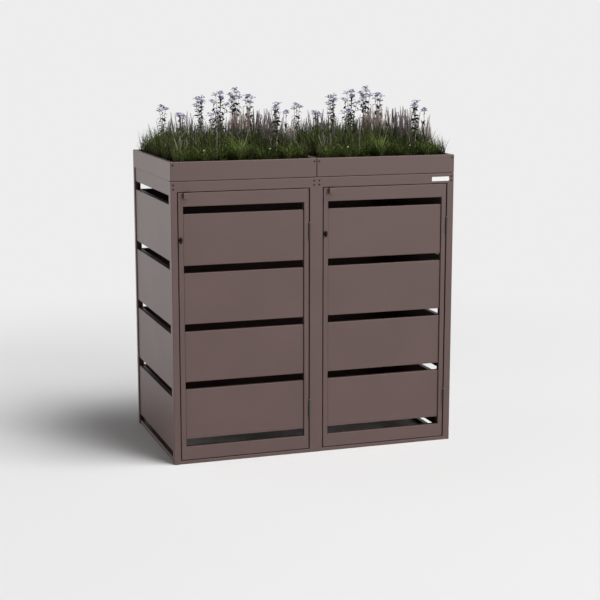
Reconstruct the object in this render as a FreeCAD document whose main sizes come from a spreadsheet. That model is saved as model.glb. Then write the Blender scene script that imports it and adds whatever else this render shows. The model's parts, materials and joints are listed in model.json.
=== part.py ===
"""Wheelie bin store: two slatted bays, a door on each, and a planter on top of each bay."""
import FreeCAD, Part
import math
import os
import Sketcher
from FreeCAD import Placement, Rotation, Vector

# Driving dimensions in millimetres
DIMENSIONS = {
    # overall
    "module_width": 730,
    "store_depth": 830,
    "frame_height": 1385,
    "sheet": 2,
    "bend": 3,
    "fold": 25,
    # front frame
    "sill_height": 18,
    "head_gap": 1.5,
    "opening_top": 1333,
    "margin_left": 32,
    "margin_right": 36,
    "relief_inset": 24,
    "relief_width": 3,
    "relief_height": 5,
    # posts behind the front frame and at the back
    "side_post_lap": 15,
    "back_face": 33,
    "back_cheek": 25,
    "back_inner": 20,
    "strap_width": 60,
    "strap_thickness": 4,
    "strap_bend": 1.5,
    # infill of the walls
    "recess": 6,
    "wall_sill": 21,
    "wall_first": 52,
    "wall_slat": 273,
    "wall_slot": 42,
    # beam under the planters
    "beam_width": 40,
    "beam_height": 40,
    # doors
    "gap_hinge": 4.5,
    "gap_latch": 3,
    "gap_head": 2.5,
    "gap_sill": 3,
    "door_stile": 25,
    "door_rail": 67,
    "door_slot": 36,
    # pull at the top of each door
    "pull_width": 32,
    "pull_drop": 27,
    "pull_reach": 22,
    "pull_inner_bend": 1,
    # quarter-turn latch
    "latch_inset": 11,
    "latch_height": 1104,
    "collar_radius": 10.5,
    "collar_flange": 2.5,
    "collar_barrel": 5,
    "spindle_radius": 3,
    "running_gap": 0.05,
    "knob_radius": 9,
    "knob_disc": 4,
    "wing_span": 30,
    "wing_radius": 4.5,
    "wing_height": 9,
    "wing_edge": 1.2,
    "cam_length": 34,
    "cam_radius": 6,
    "cam_thickness": 2,
    "cam_clearance": 0.5,
    "spindle_end": 1.5,
    # butt hinges
    "hinge_inset": 210,
    "hinge_length": 84,
    "hinge_proud": 3,
    "knuckle_radius": 4.5,
    "pin_radius": 2.5,
    "pin_head_radius": 3.6,
    "pin_head": 1.5,
    "knuckle_end": 20,
    "knuckle_gap": 0.3,
    "leaf_thickness": 1.2,
    "leaf_reach": 26,
    "leaf_setback": 5,
    # planters
    "planter_height": 91,
    "planter_seam": 2,
    "rim": 18,
    "soil_gap": 1,
    "soil_depth": 60,
    "grass_inset": 24,
    "grass_neck": 34,
    "grass_spread": 6,
    "grass_crown_inset": 80,
    "grass_middle": 70,
    "grass_height": 130,
    "stem_radius": 16,
    "stem_tip": 4,
}

# Flower stems of one planter: across from its left, back from the front face, height above the floor
STEMS = {
    "a": (133, 700, 1712),
    "b": (331, 700, 1755),
    "c": (433, 695, 1775),
    "d": (536, 690, 1800),
    "e": (588, 200, 1750),
    "f": (630, 690, 1758),
}

TOLERANCE = 1e-4
SIDES = ("left", "right")
MIRROR = {"left": 1, "right": -1}


class Size:
    """A length that holds both its number and the sheet expression that gives it."""

    def __init__(self, number, text):
        self.number = number
        self.text = text

    def __add__(self, other):
        other = size_of(other)
        return Size(self.number + other.number, f"({self.text} + {other.text})")

    def __sub__(self, other):
        other = size_of(other)
        return Size(self.number - other.number, f"({self.text} - {other.text})")

    def __mul__(self, factor):
        return Size(self.number * factor, f"({self.text} * {factor})")

    def __truediv__(self, factor):
        return Size(self.number / factor, f"({self.text} / {factor})")

    def __radd__(self, other):
        return size_of(other) + self

    def __rsub__(self, other):
        return size_of(other) - self

    def __rmul__(self, factor):
        return self * factor

    def __neg__(self):
        return self * -1


def size_of(item):
    return item if isinstance(item, Size) else Size(item, str(item))


class Dimensions:
    """The driving dimensions, by name, each tied to its cell in the sheet."""

    def __init__(self, document, values):
        self.sheet_object = document.addObject("Spreadsheet::Sheet", "dims")
        for row, (name, value) in enumerate(values.items(), start=1):
            self.sheet_object.set(f"A{row}", name)
            self.sheet_object.set(f"B{row}", str(value))
            self.sheet_object.setAlias(f"B{row}", name)
            setattr(self, name, Size(value, f"dims.{name}"))


doc = FreeCAD.newDocument("bin_store")
d = Dimensions(doc, DIMENSIONS)
doc.recompute()

pieces = []
hinge_pins = []

# Places that several pieces share
width = 2 * d.module_width
front_y = (d.pull_reach - d.store_depth) / 2
back_y = (d.pull_reach + d.store_depth) / 2
opening_width = d.module_width - d.margin_left - d.margin_right
door_width = opening_width - d.gap_latch - d.gap_hinge
door_low = d.sill_height + d.gap_sill
door_height = d.opening_top - d.gap_head - door_low
door_left_x = {
    "left": d.margin_left + d.gap_latch - d.module_width,
    "right": d.margin_left + d.gap_latch,
}
hinge_x = {side: door_left_x[side] + door_width + d.gap_hinge / 2 for side in SIDES}
wall_head_low = d.wall_first + 4 * d.wall_slat + 4 * d.wall_slot


def bind(thing, path, size):
    """Ties one property of an object to the sheet."""
    thing.setExpression(path, size_of(size).text)


def new_body(name):
    body = doc.addObject("PartDesign::Body", name)
    body.Label = name
    return body


def keep(piece):
    pieces.append(piece)
    return piece


def put(piece, x, y, z, turn=0):
    """Places a piece by its own corner, turned about the vertical."""
    piece.Placement = Placement(Vector(0, 0, 0), Rotation(Vector(0, 0, 1), turn))
    for axis, value in (("x", x), ("y", y), ("z", z)):
        if size_of(value).number != 0:
            bind(piece, f"Placement.Base.{axis}", value)
    return piece


def sketch_on(body, plane, offset=0):
    """A sketch on one of the body's own planes, moved along that plane's normal."""
    sketch = body.newObject("Sketcher::SketchObject", f"{body.Name}_sketch")
    planes = {item.Role: item for item in body.Origin.OriginFeatures}
    sketch.AttachmentSupport = [(planes[plane], "")]
    sketch.MapMode = "FlatFace"
    if size_of(offset).number != 0:
        bind(sketch, "AttachmentOffset.Base.z", offset)
    return sketch


def front_sketch(body, back=0):
    """A sketch in X and Z, a given distance behind the piece's front."""
    return sketch_on(body, "XZ_Plane", -size_of(back))


def plan_sketch(body, up=0):
    """A sketch in X and Y, a given height above the piece's foot."""
    return sketch_on(body, "XY_Plane", up)


def hold(sketch, edge, end, x, y):
    """Fixes one point of a sketch by its two distances from the origin."""
    for kind, axis, value in (("DistanceX", -2, size_of(x)), ("DistanceY", -1, size_of(y))):
        if value.number == 0:
            sketch.addConstraint(Sketcher.Constraint("PointOnObject", edge, end, axis))
        else:
            rule = Sketcher.Constraint(kind, -1, 1, edge, end, value.number)
            place = sketch.addConstraint(rule)
            bind(sketch, f"Constraints[{place}]", value)


def outline(sketch, corners):
    """A closed outline of straight edges through the given corners."""
    first = sketch.GeometryCount
    count = len(corners)
    points = [Vector(size_of(x).number, size_of(y).number, 0) for x, y in corners]
    for i in range(count):
        sketch.addGeometry(Part.LineSegment(points[i], points[(i + 1) % count]), False)
    for i in range(count):
        after = first + (i + 1) % count
        sketch.addConstraint(Sketcher.Constraint("Coincident", first + i, 2, after, 1))
    for i, (x, y) in enumerate(corners):
        hold(sketch, first + i, 1, x, y)


def rectangle(sketch, left, low, wide, high):
    right = left + wide
    top = low + high
    outline(sketch, [(left, low), (right, low), (right, top), (left, top)])


def circle(sketch, x, y, radius):
    centre = Vector(size_of(x).number, size_of(y).number, 0)
    edge = sketch.addGeometry(Part.Circle(centre, Vector(0, 0, 1), radius.number), False)
    hold(sketch, edge, 3, x, y)
    place = sketch.addConstraint(Sketcher.Constraint("Radius", edge, radius.number))
    bind(sketch, f"Constraints[{place}]", radius)


def stadium(sketch, low, high, radius):
    """An upright round-ended bar on the Y axis of the sketch, between two end centres."""
    first = sketch.GeometryCount
    r = radius.number
    foot = size_of(low).number
    top = size_of(high).number
    upward = Vector(0, 0, 1)
    top_circle = Part.Circle(Vector(0, top, 0), upward, r)
    foot_circle = Part.Circle(Vector(0, foot, 0), upward, r)
    sketch.addGeometry(Part.ArcOfCircle(top_circle, 0, math.pi), False)
    sketch.addGeometry(Part.LineSegment(Vector(-r, top, 0), Vector(-r, foot, 0)), False)
    sketch.addGeometry(Part.ArcOfCircle(foot_circle, math.pi, 2 * math.pi), False)
    sketch.addGeometry(Part.LineSegment(Vector(r, foot, 0), Vector(r, top, 0)), False)
    for i in range(4):
        sketch.addConstraint(Sketcher.Constraint("Tangent", first + i, 2, first + (i + 1) % 4, 1))
    for arc, centre in ((first, high), (first + 2, low)):
        hold(sketch, arc, 3, 0, centre)
        place = sketch.addConstraint(Sketcher.Constraint("Radius", arc, r))
        bind(sketch, f"Constraints[{place}]", radius)


def pad(body, sketch, length, reverse=False):
    feature = body.newObject("PartDesign::Pad", f"{body.Name}_pad")
    feature.Profile = sketch
    feature.Reversed = reverse
    bind(feature, "Length", length)
    doc.recompute()
    return feature


def pocket(body, sketch, length, reverse=False):
    """Cuts a sketch into the body and makes sure that it did cut."""
    before = body.Tip.Shape.Volume
    feature = body.newObject("PartDesign::Pocket", f"{body.Name}_pocket")
    feature.Profile = sketch
    feature.Reversed = reverse
    bind(feature, "Length", length)
    doc.recompute()
    if feature.Shape.Volume > before - TOLERANCE:
        raise ValueError(f"{body.Label}: a pocket cuts nothing")
    return feature


def fillet(body, radius, wanted):
    """Rounds every edge of the body whose two ends both pass the test."""
    base = body.Tip
    names = []
    for number, edge in enumerate(base.Shape.Edges, start=1):
        points = [vertex.Point for vertex in edge.Vertexes]
        if len(points) == 2 and wanted(*points):
            names.append(f"Edge{number}")
    return round_edges(body, base, names, radius)


def round_edges(body, base, names, radius):
    feature = body.newObject("PartDesign::Fillet", f"{body.Name}_bends")
    feature.Base = (base, names)
    bind(feature, "Radius", radius)
    doc.recompute()
    if not names or "Invalid" in feature.State:
        raise ValueError(f"{body.Label}: the edges do not round")
    return feature


def near(value, target):
    return abs(value - size_of(target).number) < TOLERANCE


def at_front(a, b):
    return near(a.y, 0) and near(b.y, 0)


def upright(a, b):
    return near(a.x, b.x) and near(a.y, b.y)


def tray(name, length, height, depth):
    """A folded infill plate: flat face, four returns behind it, open at the back."""
    body = new_body(name)
    face = front_sketch(body)
    rectangle(face, 0, 0, length, height)
    pad(body, face, depth, reverse=True)
    fillet(body, d.bend, at_front)
    hollow = front_sketch(body, d.sheet)
    rectangle(hollow, d.sheet, d.sheet, length - 2 * d.sheet, height - 2 * d.sheet)
    pocket(body, hollow, depth)
    return keep(body)


def front_frame():
    """The folded front: one face with two door openings, then cut into its welded members."""
    body = new_body("front_frame_blank")
    height = d.frame_height - d.head_gap
    opening_height = d.opening_top - d.sill_height
    openings = [d.margin_left, d.module_width + d.margin_left]

    face = front_sketch(body)
    rectangle(face, 0, 0, width, height)
    for left in openings:
        rectangle(face, left, d.sill_height, opening_width, opening_height)
    pad(body, face, d.fold, reverse=True)

    def edge_of_face(a, b):
        """True for the front edges of the face and of its openings, but not for the foot."""
        return at_front(a, b) and max(a.z, b.z) > TOLERANCE

    fillet(body, d.bend, edge_of_face)

    channel = front_sketch(body, d.sheet)
    rectangle(channel, d.sheet, d.sheet, width - 2 * d.sheet, height - 2 * d.sheet)
    for left in openings:
        rectangle(channel, left - d.sheet, d.sill_height - d.sheet,
                  opening_width + 2 * d.sheet, opening_height + 2 * d.sheet)
    pocket(body, channel, d.fold)

    # relief notches beside each foot, and no lower flange between them and the posts
    notch_step = d.module_width - 2 * d.relief_inset - d.relief_width
    notches = []
    for start in (d.relief_inset, d.module_width + d.relief_inset):
        notches += [start, start + notch_step]
    relief = front_sketch(body)
    for left in notches:
        rectangle(relief, left, 0, d.relief_width, d.relief_height)
    pocket(body, relief, d.fold + d.sheet)
    feet = plan_sketch(body)
    foot_spans = [
        (d.sheet, d.relief_inset - d.sheet),
        (d.module_width - d.relief_inset, 2 * d.relief_inset),
        (width - d.relief_inset, d.relief_inset - d.sheet),
    ]
    for left, span in foot_spans:
        rectangle(feet, left, d.sheet, span, d.fold)
    pocket(body, feet, d.sheet, reverse=True)

    flange_left = [d.relief_inset + d.relief_width, d.module_width + d.relief_inset + d.relief_width]

    def foot_bend(a, b):
        """True for the front edges of the two lower flanges."""
        at_foot = at_front(a, b) and near(a.z, 0) and near(b.z, 0)
        return at_foot and any(near(min(a.x, b.x), left) for left in flange_left)

    fillet(body, d.bend, foot_bend)
    put(body, -d.module_width, front_y, 0)

    # name: left, low, wide and high of the region that each welded member takes from the blank
    half = d.module_width / 2
    regions = {
        "front_sill": (-half, -half, width + 2 * half, half + d.sill_height),
        "front_head": (-half, d.opening_top, width + 2 * half, half),
        "front_post_left": (-half, d.sill_height, 2 * half, opening_height),
        "front_post_centre": (half, d.sill_height, 2 * half, opening_height),
        "front_post_right": (3 * half, d.sill_height, 2 * half, opening_height),
    }
    for name, (left, low, wide, high) in regions.items():
        region = doc.addObject("Part::Box", f"{name}_region")
        bind(region, "Length", wide)
        bind(region, "Width", 3 * d.fold)
        bind(region, "Height", high)
        put(region, left - d.module_width, front_y - d.fold, low)
        member = doc.addObject("Part::Common", name)
        member.Label = name
        member.Base = body
        member.Tool = region
        keep(member)


def side_post(side):
    """The angle behind the front frame that the ends of the side plates meet."""
    way = MIRROR[side]
    body = new_body(f"side_post_{side}")
    section = plan_sketch(body)
    lap, lip, wall = d.side_post_lap, d.fold, d.sheet
    outline(section, [
        (0, 0),
        (0, lap),
        (way * lip, lap),
        (way * lip, lap - wall),
        (way * wall, lap - wall),
        (way * wall, 0),
    ])
    pad(body, section, d.frame_height)
    fillet(body, d.bend, lambda a, b: upright(a, b) and near(a.x, 0) and near(a.y, lap))
    put(body, -way * d.module_width, front_y + d.fold, 0)
    keep(body)


def back_post(side):
    """A lipped post; its forward lip shows beside the recessed slats."""
    way = MIRROR[side]
    body = new_body(f"back_post_{side}")
    section = plan_sketch(body)
    face, cheek, wall = d.back_face, d.back_cheek, d.sheet
    outline(section, [
        (way * d.fold, 0),
        (0, 0),
        (0, cheek),
        (way * face, cheek),
        (way * face, cheek - d.back_inner),
        (way * (face - wall), cheek - d.back_inner),
        (way * (face - wall), cheek - wall),
        (way * wall, cheek - wall),
        (way * wall, wall),
        (way * d.fold, wall),
    ])
    pad(body, section, d.frame_height)

    def folded(a, b):
        outer = near(a.x, 0) and (near(a.y, 0) or near(a.y, cheek))
        inner = near(a.x, way * face) and near(a.y, cheek)
        return upright(a, b) and (outer or inner)

    fillet(body, d.bend, folded)
    put(body, -way * d.module_width, back_y - cheek, 0)
    keep(body)


def back_strap():
    """The flat upright that ties the wide back slats together at the middle."""
    body = new_body("back_strap")
    section = plan_sketch(body)
    rectangle(section, 0, 0, d.strap_width, d.strap_thickness)
    pad(body, section, d.frame_height)
    fillet(body, d.strap_bend, lambda a, b: upright(a, b) and near(a.y, d.strap_thickness))
    put(body, -d.strap_width / 2, back_y - d.recess, 0)
    keep(body)


def wall_rows():
    """Name, foot and height of each infill plate of a slatted wall, from the floor up."""
    rows = [("sill", size_of(0), d.wall_sill)]
    for number in range(4):
        low = d.wall_first + number * (d.wall_slat + d.wall_slot)
        rows.append((f"slat_{number + 1}", low, d.wall_slat))
    rows.append(("head", wall_head_low, d.frame_height - wall_head_low))
    return rows


def side_wall(side):
    start = front_y + d.fold + d.side_post_lap
    length = back_y - d.back_cheek - start
    outside = d.module_width - d.recess
    for row, low, height in wall_rows():
        plate = tray(f"side_{row}_{side}", length, height, d.fold)
        if side == "left":
            put(plate, -outside, back_y - d.back_cheek, low, turn=-90)
        else:
            put(plate, outside, start, low, turn=90)


def back_wall():
    length = width - 2 * d.back_face
    for row, low, height in wall_rows():
        plate = tray(f"back_{row}", length, height, d.fold)
        put(plate, length / 2, back_y - d.recess, low, turn=180)


def roof_beam():
    """The folded channel under the seam of the two planters."""
    body = new_body("roof_beam")
    half, wall, high = d.beam_width / 2, d.sheet, d.beam_height
    section = front_sketch(body)
    outline(section, [
        (-half, 0),
        (-half, high),
        (half, high),
        (half, 0),
        (half - wall, 0),
        (half - wall, high - wall),
        (wall - half, high - wall),
        (wall - half, 0),
    ])
    start = front_y + d.fold
    length = back_y - d.recess - d.fold - start
    pad(body, section, length, reverse=True)

    def folded(a, b):
        along = near(a.z, high) and near(b.z, high) and near(a.x, b.x)
        return along and near(abs(a.x), half)

    fillet(body, d.bend, folded)
    put(body, 0, start, d.frame_height - high)
    keep(body)


def planter(side):
    """An open trough with its rim turned inward."""
    body = new_body(f"planter_{side}")
    long = d.module_width - d.planter_seam / 2
    deep, high, wall = d.store_depth, d.planter_height, d.sheet
    base = plan_sketch(body)
    rectangle(base, 0, 0, long, deep)
    pad(body, base, high)
    trough = plan_sketch(body, high)
    rectangle(trough, wall, wall, long - 2 * wall, deep - 2 * wall)
    pocket(body, trough, high - wall)
    rim = plan_sketch(body, high - wall)
    rectangle(rim, wall, wall, long - 2 * wall, deep - 2 * wall)
    rectangle(rim, d.rim, d.rim, long - 2 * d.rim, deep - 2 * d.rim)
    pad(body, rim, wall)

    def outer_corner(point):
        return (near(point.x, 0) or near(point.x, long)) and (near(point.y, 0) or near(point.y, deep))

    fillet(body, d.bend, lambda a, b: outer_corner(a) and outer_corner(b))
    left = -d.module_width if side == "left" else d.planter_seam / 2
    put(body, left, front_y, d.frame_height)
    keep(body)


def planting(side):
    """Soil, the carpet of grass and the tall stems of one planter, as plain soft solids."""
    left = -d.module_width if side == "left" else size_of(0)
    inside = d.sheet + d.soil_gap
    soil = new_body(f"soil_{side}")
    plan = plan_sketch(soil)
    rectangle(plan, inside, inside, d.module_width - 2 * inside, d.store_depth - 2 * inside)
    pad(soil, plan, d.soil_depth)
    soil_low = d.frame_height + d.sheet
    put(soil, left, front_y, soil_low)
    keep(soil)

    grass = new_body(f"grass_{side}")
    levels = [
        (size_of(0), d.grass_inset),
        (d.grass_neck, d.grass_inset),
        (d.grass_middle, d.grass_spread),
        (d.grass_height, d.grass_crown_inset),
    ]
    layers = []
    for up, inset in levels:
        layer = plan_sketch(grass, up)
        rectangle(layer, inset, inset, d.module_width - 2 * inset, d.store_depth - 2 * inset)
        layers.append(layer)
    loft = grass.newObject("PartDesign::AdditiveLoft", f"{grass.Name}_loft")
    loft.Profile = layers[0]
    loft.Sections = layers[1:]
    loft.Ruled = True
    grass_low = soil_low + d.soil_depth
    put(grass, left, front_y, grass_low)
    keep(grass)

    stem_low = grass_low + d.grass_height
    spikes = []
    for key, (across, back, top) in STEMS.items():
        spike = doc.addObject("Part::Cone", f"stem_{side}_{key}")
        bind(spike, "Radius1", d.stem_radius)
        bind(spike, "Radius2", d.stem_tip)
        bind(spike, "Height", top - stem_low)
        put(spike, left + across, front_y + back, stem_low)
        spikes.append(spike)
    group(f"flowers_{side}", spikes)


def door_frame(side):
    """The folded ring of a door, a channel all round, with a hole for the latch."""
    body = new_body(f"door_frame_{side}")
    inner_width = door_width - 2 * d.door_stile
    inner_height = door_height - 2 * d.door_rail
    face = front_sketch(body)
    rectangle(face, 0, 0, door_width, door_height)
    rectangle(face, d.door_stile, d.door_rail, inner_width, inner_height)
    pad(body, face, d.fold, reverse=True)
    fillet(body, d.bend, at_front)
    channel = front_sketch(body, d.sheet)
    rectangle(channel, d.sheet, d.sheet, door_width - 2 * d.sheet, door_height - 2 * d.sheet)
    rectangle(channel, d.door_stile - d.sheet, d.door_rail - d.sheet,
              inner_width + 2 * d.sheet, inner_height + 2 * d.sheet)
    pocket(body, channel, d.fold)
    bore = front_sketch(body)
    circle(bore, d.latch_inset, d.latch_height - door_low, d.collar_barrel + d.running_gap)
    pocket(body, bore, d.sheet)
    put(body, door_left_x[side], front_y, door_low)
    keep(body)


def door_slats(side):
    """Four plates between the stiles, set back behind the face of the door."""
    inner_height = door_height - 2 * d.door_rail
    slat_height = (inner_height - 5 * d.door_slot) / 4
    length = door_width - 2 * d.door_stile
    for number in range(4):
        plate = tray(f"door_slat_{number + 1}_{side}", length, slat_height, d.fold - d.recess)
        low = door_low + d.door_rail + d.door_slot + number * (slat_height + d.door_slot)
        put(plate, door_left_x[side] + d.door_stile, front_y + d.recess, low)


def pull(side):
    """A strip folded over into a finger pull, open below."""
    body = new_body(f"pull_{side}")
    wall, drop, reach = d.sheet, d.pull_drop, d.pull_reach
    section = sketch_on(body, "YZ_Plane")
    outline(section, [
        (0, 0),
        (0, drop),
        (-reach, drop),
        (-reach, 0),
        (wall - reach, 0),
        (wall - reach, drop - wall),
        (-wall, drop - wall),
        (-wall, 0),
    ])
    pad(body, section, d.pull_width)

    def along(a, b):
        return near(a.y, b.y) and near(a.z, b.z)

    def outer_bend(a, b):
        return along(a, b) and near(a.z, drop) and near(a.y, -reach)

    def inner_bend(a, b):
        return along(a, b) and near(a.z, drop - wall) and near(a.y, wall - reach)

    fillet(body, d.bend, outer_bend)
    fillet(body, d.pull_inner_bend, inner_bend)
    top = door_low + door_height
    put(body, door_left_x[side] + d.door_stile, front_y, top - drop)
    keep(body)


def latch_place(side):
    return door_left_x[side] + d.latch_inset, d.latch_height


def latch_collar(side):
    """The collar that is pressed into the stile and carries the spindle."""
    body = new_body(f"latch_collar_{side}")
    flange = front_sketch(body)
    circle(flange, 0, 0, d.collar_radius)
    pad(body, flange, d.collar_flange)
    barrel = front_sketch(body)
    circle(barrel, 0, 0, d.collar_barrel)
    pad(body, barrel, d.fold, reverse=True)
    bore = front_sketch(body, -d.collar_flange)
    circle(bore, 0, 0, d.spindle_radius + d.running_gap)
    pocket(body, bore, d.fold + 2 * d.collar_flange)
    round_rim(body, d.collar_flange / 2, -d.collar_flange, d.collar_radius)
    x, z = latch_place(side)
    put(body, x, front_y, z)
    keep(body)


def round_rim(body, radius, level, rim_radius):
    """Rounds the circular edge of a turned piece at one level of Y."""
    base = body.Tip
    names = []
    for number, edge in enumerate(base.Shape.Edges, start=1):
        curve = edge.Curve
        if curve.TypeId == "Part::GeomCircle" and near(curve.Radius, rim_radius):
            if near(curve.Center.y, level):
                names.append(f"Edge{number}")
    return round_edges(body, base, names, radius)


def latch_knob(side):
    """Thumb-turn: disc, upright wing and the spindle through the collar."""
    body = new_body(f"latch_knob_{side}")
    disc = front_sketch(body)
    circle(disc, 0, 0, d.knob_radius)
    pad(body, disc, d.knob_disc)
    wing = front_sketch(body, -d.knob_disc)
    reach = d.wing_span / 2 - d.wing_radius
    stadium(wing, -reach, reach, d.wing_radius)
    pad(body, wing, d.wing_height)
    tip = -(d.knob_disc + d.wing_height)
    fillet(body, d.wing_edge, lambda a, b: near(a.y, tip) and near(b.y, tip))
    spindle = front_sketch(body)
    circle(spindle, 0, 0, d.spindle_radius)
    length = d.collar_flange + d.fold + d.cam_clearance + d.cam_thickness + d.spindle_end
    pad(body, spindle, length, reverse=True)
    x, z = latch_place(side)
    put(body, x, front_y - d.collar_flange, z)
    keep(body)


def latch_cam(side):
    """The bar behind the stile that turns in behind the post."""
    body = new_body(f"latch_cam_{side}")
    plate = front_sketch(body)
    stadium(plate, 2 * d.cam_radius - d.cam_length, size_of(0), d.cam_radius)
    circle(plate, 0, 0, d.spindle_radius + d.running_gap)
    pad(body, plate, d.cam_thickness, reverse=True)
    x, z = latch_place(side)
    put(body, x, front_y + d.fold + d.cam_clearance, z)
    keep(body)


def hinge_half(name, way, spans):
    """One leaf of a butt hinge with its knuckles; way is the side that the leaf lies on."""
    body = new_body(name)
    outside = d.gap_hinge / 2
    inside = outside - d.leaf_thickness
    plate = plan_sketch(body)
    rectangle(plate, way * inside, d.leaf_setback, way * d.leaf_thickness, d.leaf_reach - d.leaf_setback)
    pad(body, plate, d.hinge_length)
    for low, high in spans:
        knuckle = plan_sketch(body, low)
        circle(knuckle, 0, 0, d.knuckle_radius)
        pad(body, knuckle, high - low)
        strip = plan_sketch(body, low)
        rectangle(strip, way * inside, 0, way * d.leaf_thickness, d.leaf_reach)
        pad(body, strip, high - low)
    bore = plan_sketch(body)
    circle(bore, 0, 0, d.pin_radius + d.running_gap)
    pocket(body, bore, d.hinge_length, reverse=True)
    return body


def hinges(side):
    """Upper and lower butt hinge of one door: frame halves, door halves and pins."""
    end = d.knuckle_end
    frame_spans = [(size_of(0), end), (d.hinge_length - end, d.hinge_length)]
    door_spans = [(end + d.knuckle_gap, d.hinge_length - end - d.knuckle_gap)]
    axis_y = front_y - d.hinge_proud
    feet = {
        "lower": door_low + d.hinge_inset - d.hinge_length / 2,
        "upper": door_low + door_height - d.hinge_inset - d.hinge_length / 2,
    }
    frame_halves = []
    door_halves = []
    for place, low in feet.items():
        frame_half = hinge_half(f"{place}_frame_half_{side}", 1, frame_spans)
        door_half = hinge_half(f"{place}_door_half_{side}", -1, door_spans)
        pin = new_body(f"{place}_pin_{side}")
        shank = plan_sketch(pin)
        circle(shank, 0, 0, d.pin_radius)
        pad(pin, shank, d.hinge_length)
        head = plan_sketch(pin, d.hinge_length)
        circle(head, 0, 0, d.pin_head_radius)
        pad(pin, head, d.pin_head)
        for piece in (frame_half, door_half, pin):
            put(piece, hinge_x[side], axis_y, low)
        frame_halves.append(frame_half)
        door_halves.append(door_half)
        hinge_pins.append(pin)
    group(f"hinge_frame_halves_{side}", frame_halves)
    group(f"hinge_door_halves_{side}", door_halves)


def group(name, members):
    """Alike pieces of one body that share a file, each still a solid of its own."""
    together = doc.addObject("Part::Compound", name)
    together.Label = name
    together.Links = members
    keep(together)


def check_and_write():
    """Stops on any failed object, then writes one file for each piece."""
    doc.recompute()
    for thing in doc.Objects:
        if "Invalid" in thing.State or "Error" in thing.State:
            raise ValueError(f"{thing.Label} failed: {thing.State}")
    os.makedirs("parts", exist_ok=True)
    for piece in pieces:
        shape = piece.Shape
        if shape.isNull() or not shape.isValid() or not shape.Solids:
            raise ValueError(f"{piece.Label} has no valid shape")
        shape.exportStep(f"parts/{piece.Label}.step")
        box = shape.BoundBox
        print(f"{piece.Label}: {len(shape.Solids)} solid, {shape.Volume / 1000:.1f} cm3, "
              f"x {box.XMin:.1f} to {box.XMax:.1f}, y {box.YMin:.1f} to {box.YMax:.1f}, "
              f"z {box.ZMin:.1f} to {box.ZMax:.1f}")
    print(len(pieces), "pieces")


front_frame()
back_wall()
back_strap()
roof_beam()
for side in SIDES:
    side_post(side)
    back_post(side)
    side_wall(side)
    planter(side)
    planting(side)
    door_frame(side)
    door_slats(side)
    pull(side)
    latch_collar(side)
    latch_knob(side)
    latch_cam(side)
    hinges(side)
group("hinge_pins", hinge_pins)
check_and_write()
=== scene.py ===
"""Wheelie bin store: finishes, rivets, plate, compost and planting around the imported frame."""

import json
import math
import random

import bpy
import numpy as np
from mathutils import Euler, Matrix, Vector, noise


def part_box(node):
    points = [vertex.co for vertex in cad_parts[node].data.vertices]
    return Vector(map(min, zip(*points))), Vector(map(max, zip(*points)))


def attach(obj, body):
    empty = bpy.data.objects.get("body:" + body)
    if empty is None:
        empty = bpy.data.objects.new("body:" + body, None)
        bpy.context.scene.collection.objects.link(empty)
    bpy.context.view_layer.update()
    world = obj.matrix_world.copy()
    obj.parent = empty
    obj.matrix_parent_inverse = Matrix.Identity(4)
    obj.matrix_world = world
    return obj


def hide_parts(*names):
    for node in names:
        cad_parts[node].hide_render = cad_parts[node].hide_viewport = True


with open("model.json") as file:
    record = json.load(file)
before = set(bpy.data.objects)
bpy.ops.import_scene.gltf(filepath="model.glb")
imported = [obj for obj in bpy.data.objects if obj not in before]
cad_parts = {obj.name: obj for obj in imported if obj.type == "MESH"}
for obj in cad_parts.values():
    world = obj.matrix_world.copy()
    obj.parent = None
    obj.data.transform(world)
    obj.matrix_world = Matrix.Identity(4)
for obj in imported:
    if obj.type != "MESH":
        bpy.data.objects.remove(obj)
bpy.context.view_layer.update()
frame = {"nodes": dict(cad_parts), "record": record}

SIDES = ("left", "right")
UPRIGHT = Vector((0, 0, 1))

# Places worked out from the frame
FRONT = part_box("front_head")[0].y
HEAD_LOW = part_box("front_head")[0].z
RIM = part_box("planter_left")[1].z
SOIL_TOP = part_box("soil_left")[1].z
HALF_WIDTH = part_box("planter_right")[1].x

# What lies between these corners is inside the store: further in than half the sheet of the walls
HALF_SHEET = 0.001
INSIDE_LOW = Vector((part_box("side_slat_1_left")[0].x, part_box("door_slat_1_left")[0].y, -1.0))
INSIDE_HIGH = Vector((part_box("side_slat_1_right")[1].x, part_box("back_slat_1")[1].y,
                      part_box("planter_left")[0].z + HALF_SHEET))

# The powder coat, with painted shade inside the store: how much darker its colour and how much lower its
# gloss are there
COAT = (0.0893, 0.0509, 0.0447)
COAT_GLOSS = 0.5
PAINTED_INSIDE_SHADE = 0.52
PAINTED_SHADE_GLOSS = 0.12
# A face loses the painted inside shade as it turns to the back, between these values of its normal's Y
BACKWARD = (0.35, 0.65)

# Sockets of a Mix node that blends colours
MIX_A = 6
MIX_B = 7
MIX_RESULT = 2


# Materials

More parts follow.
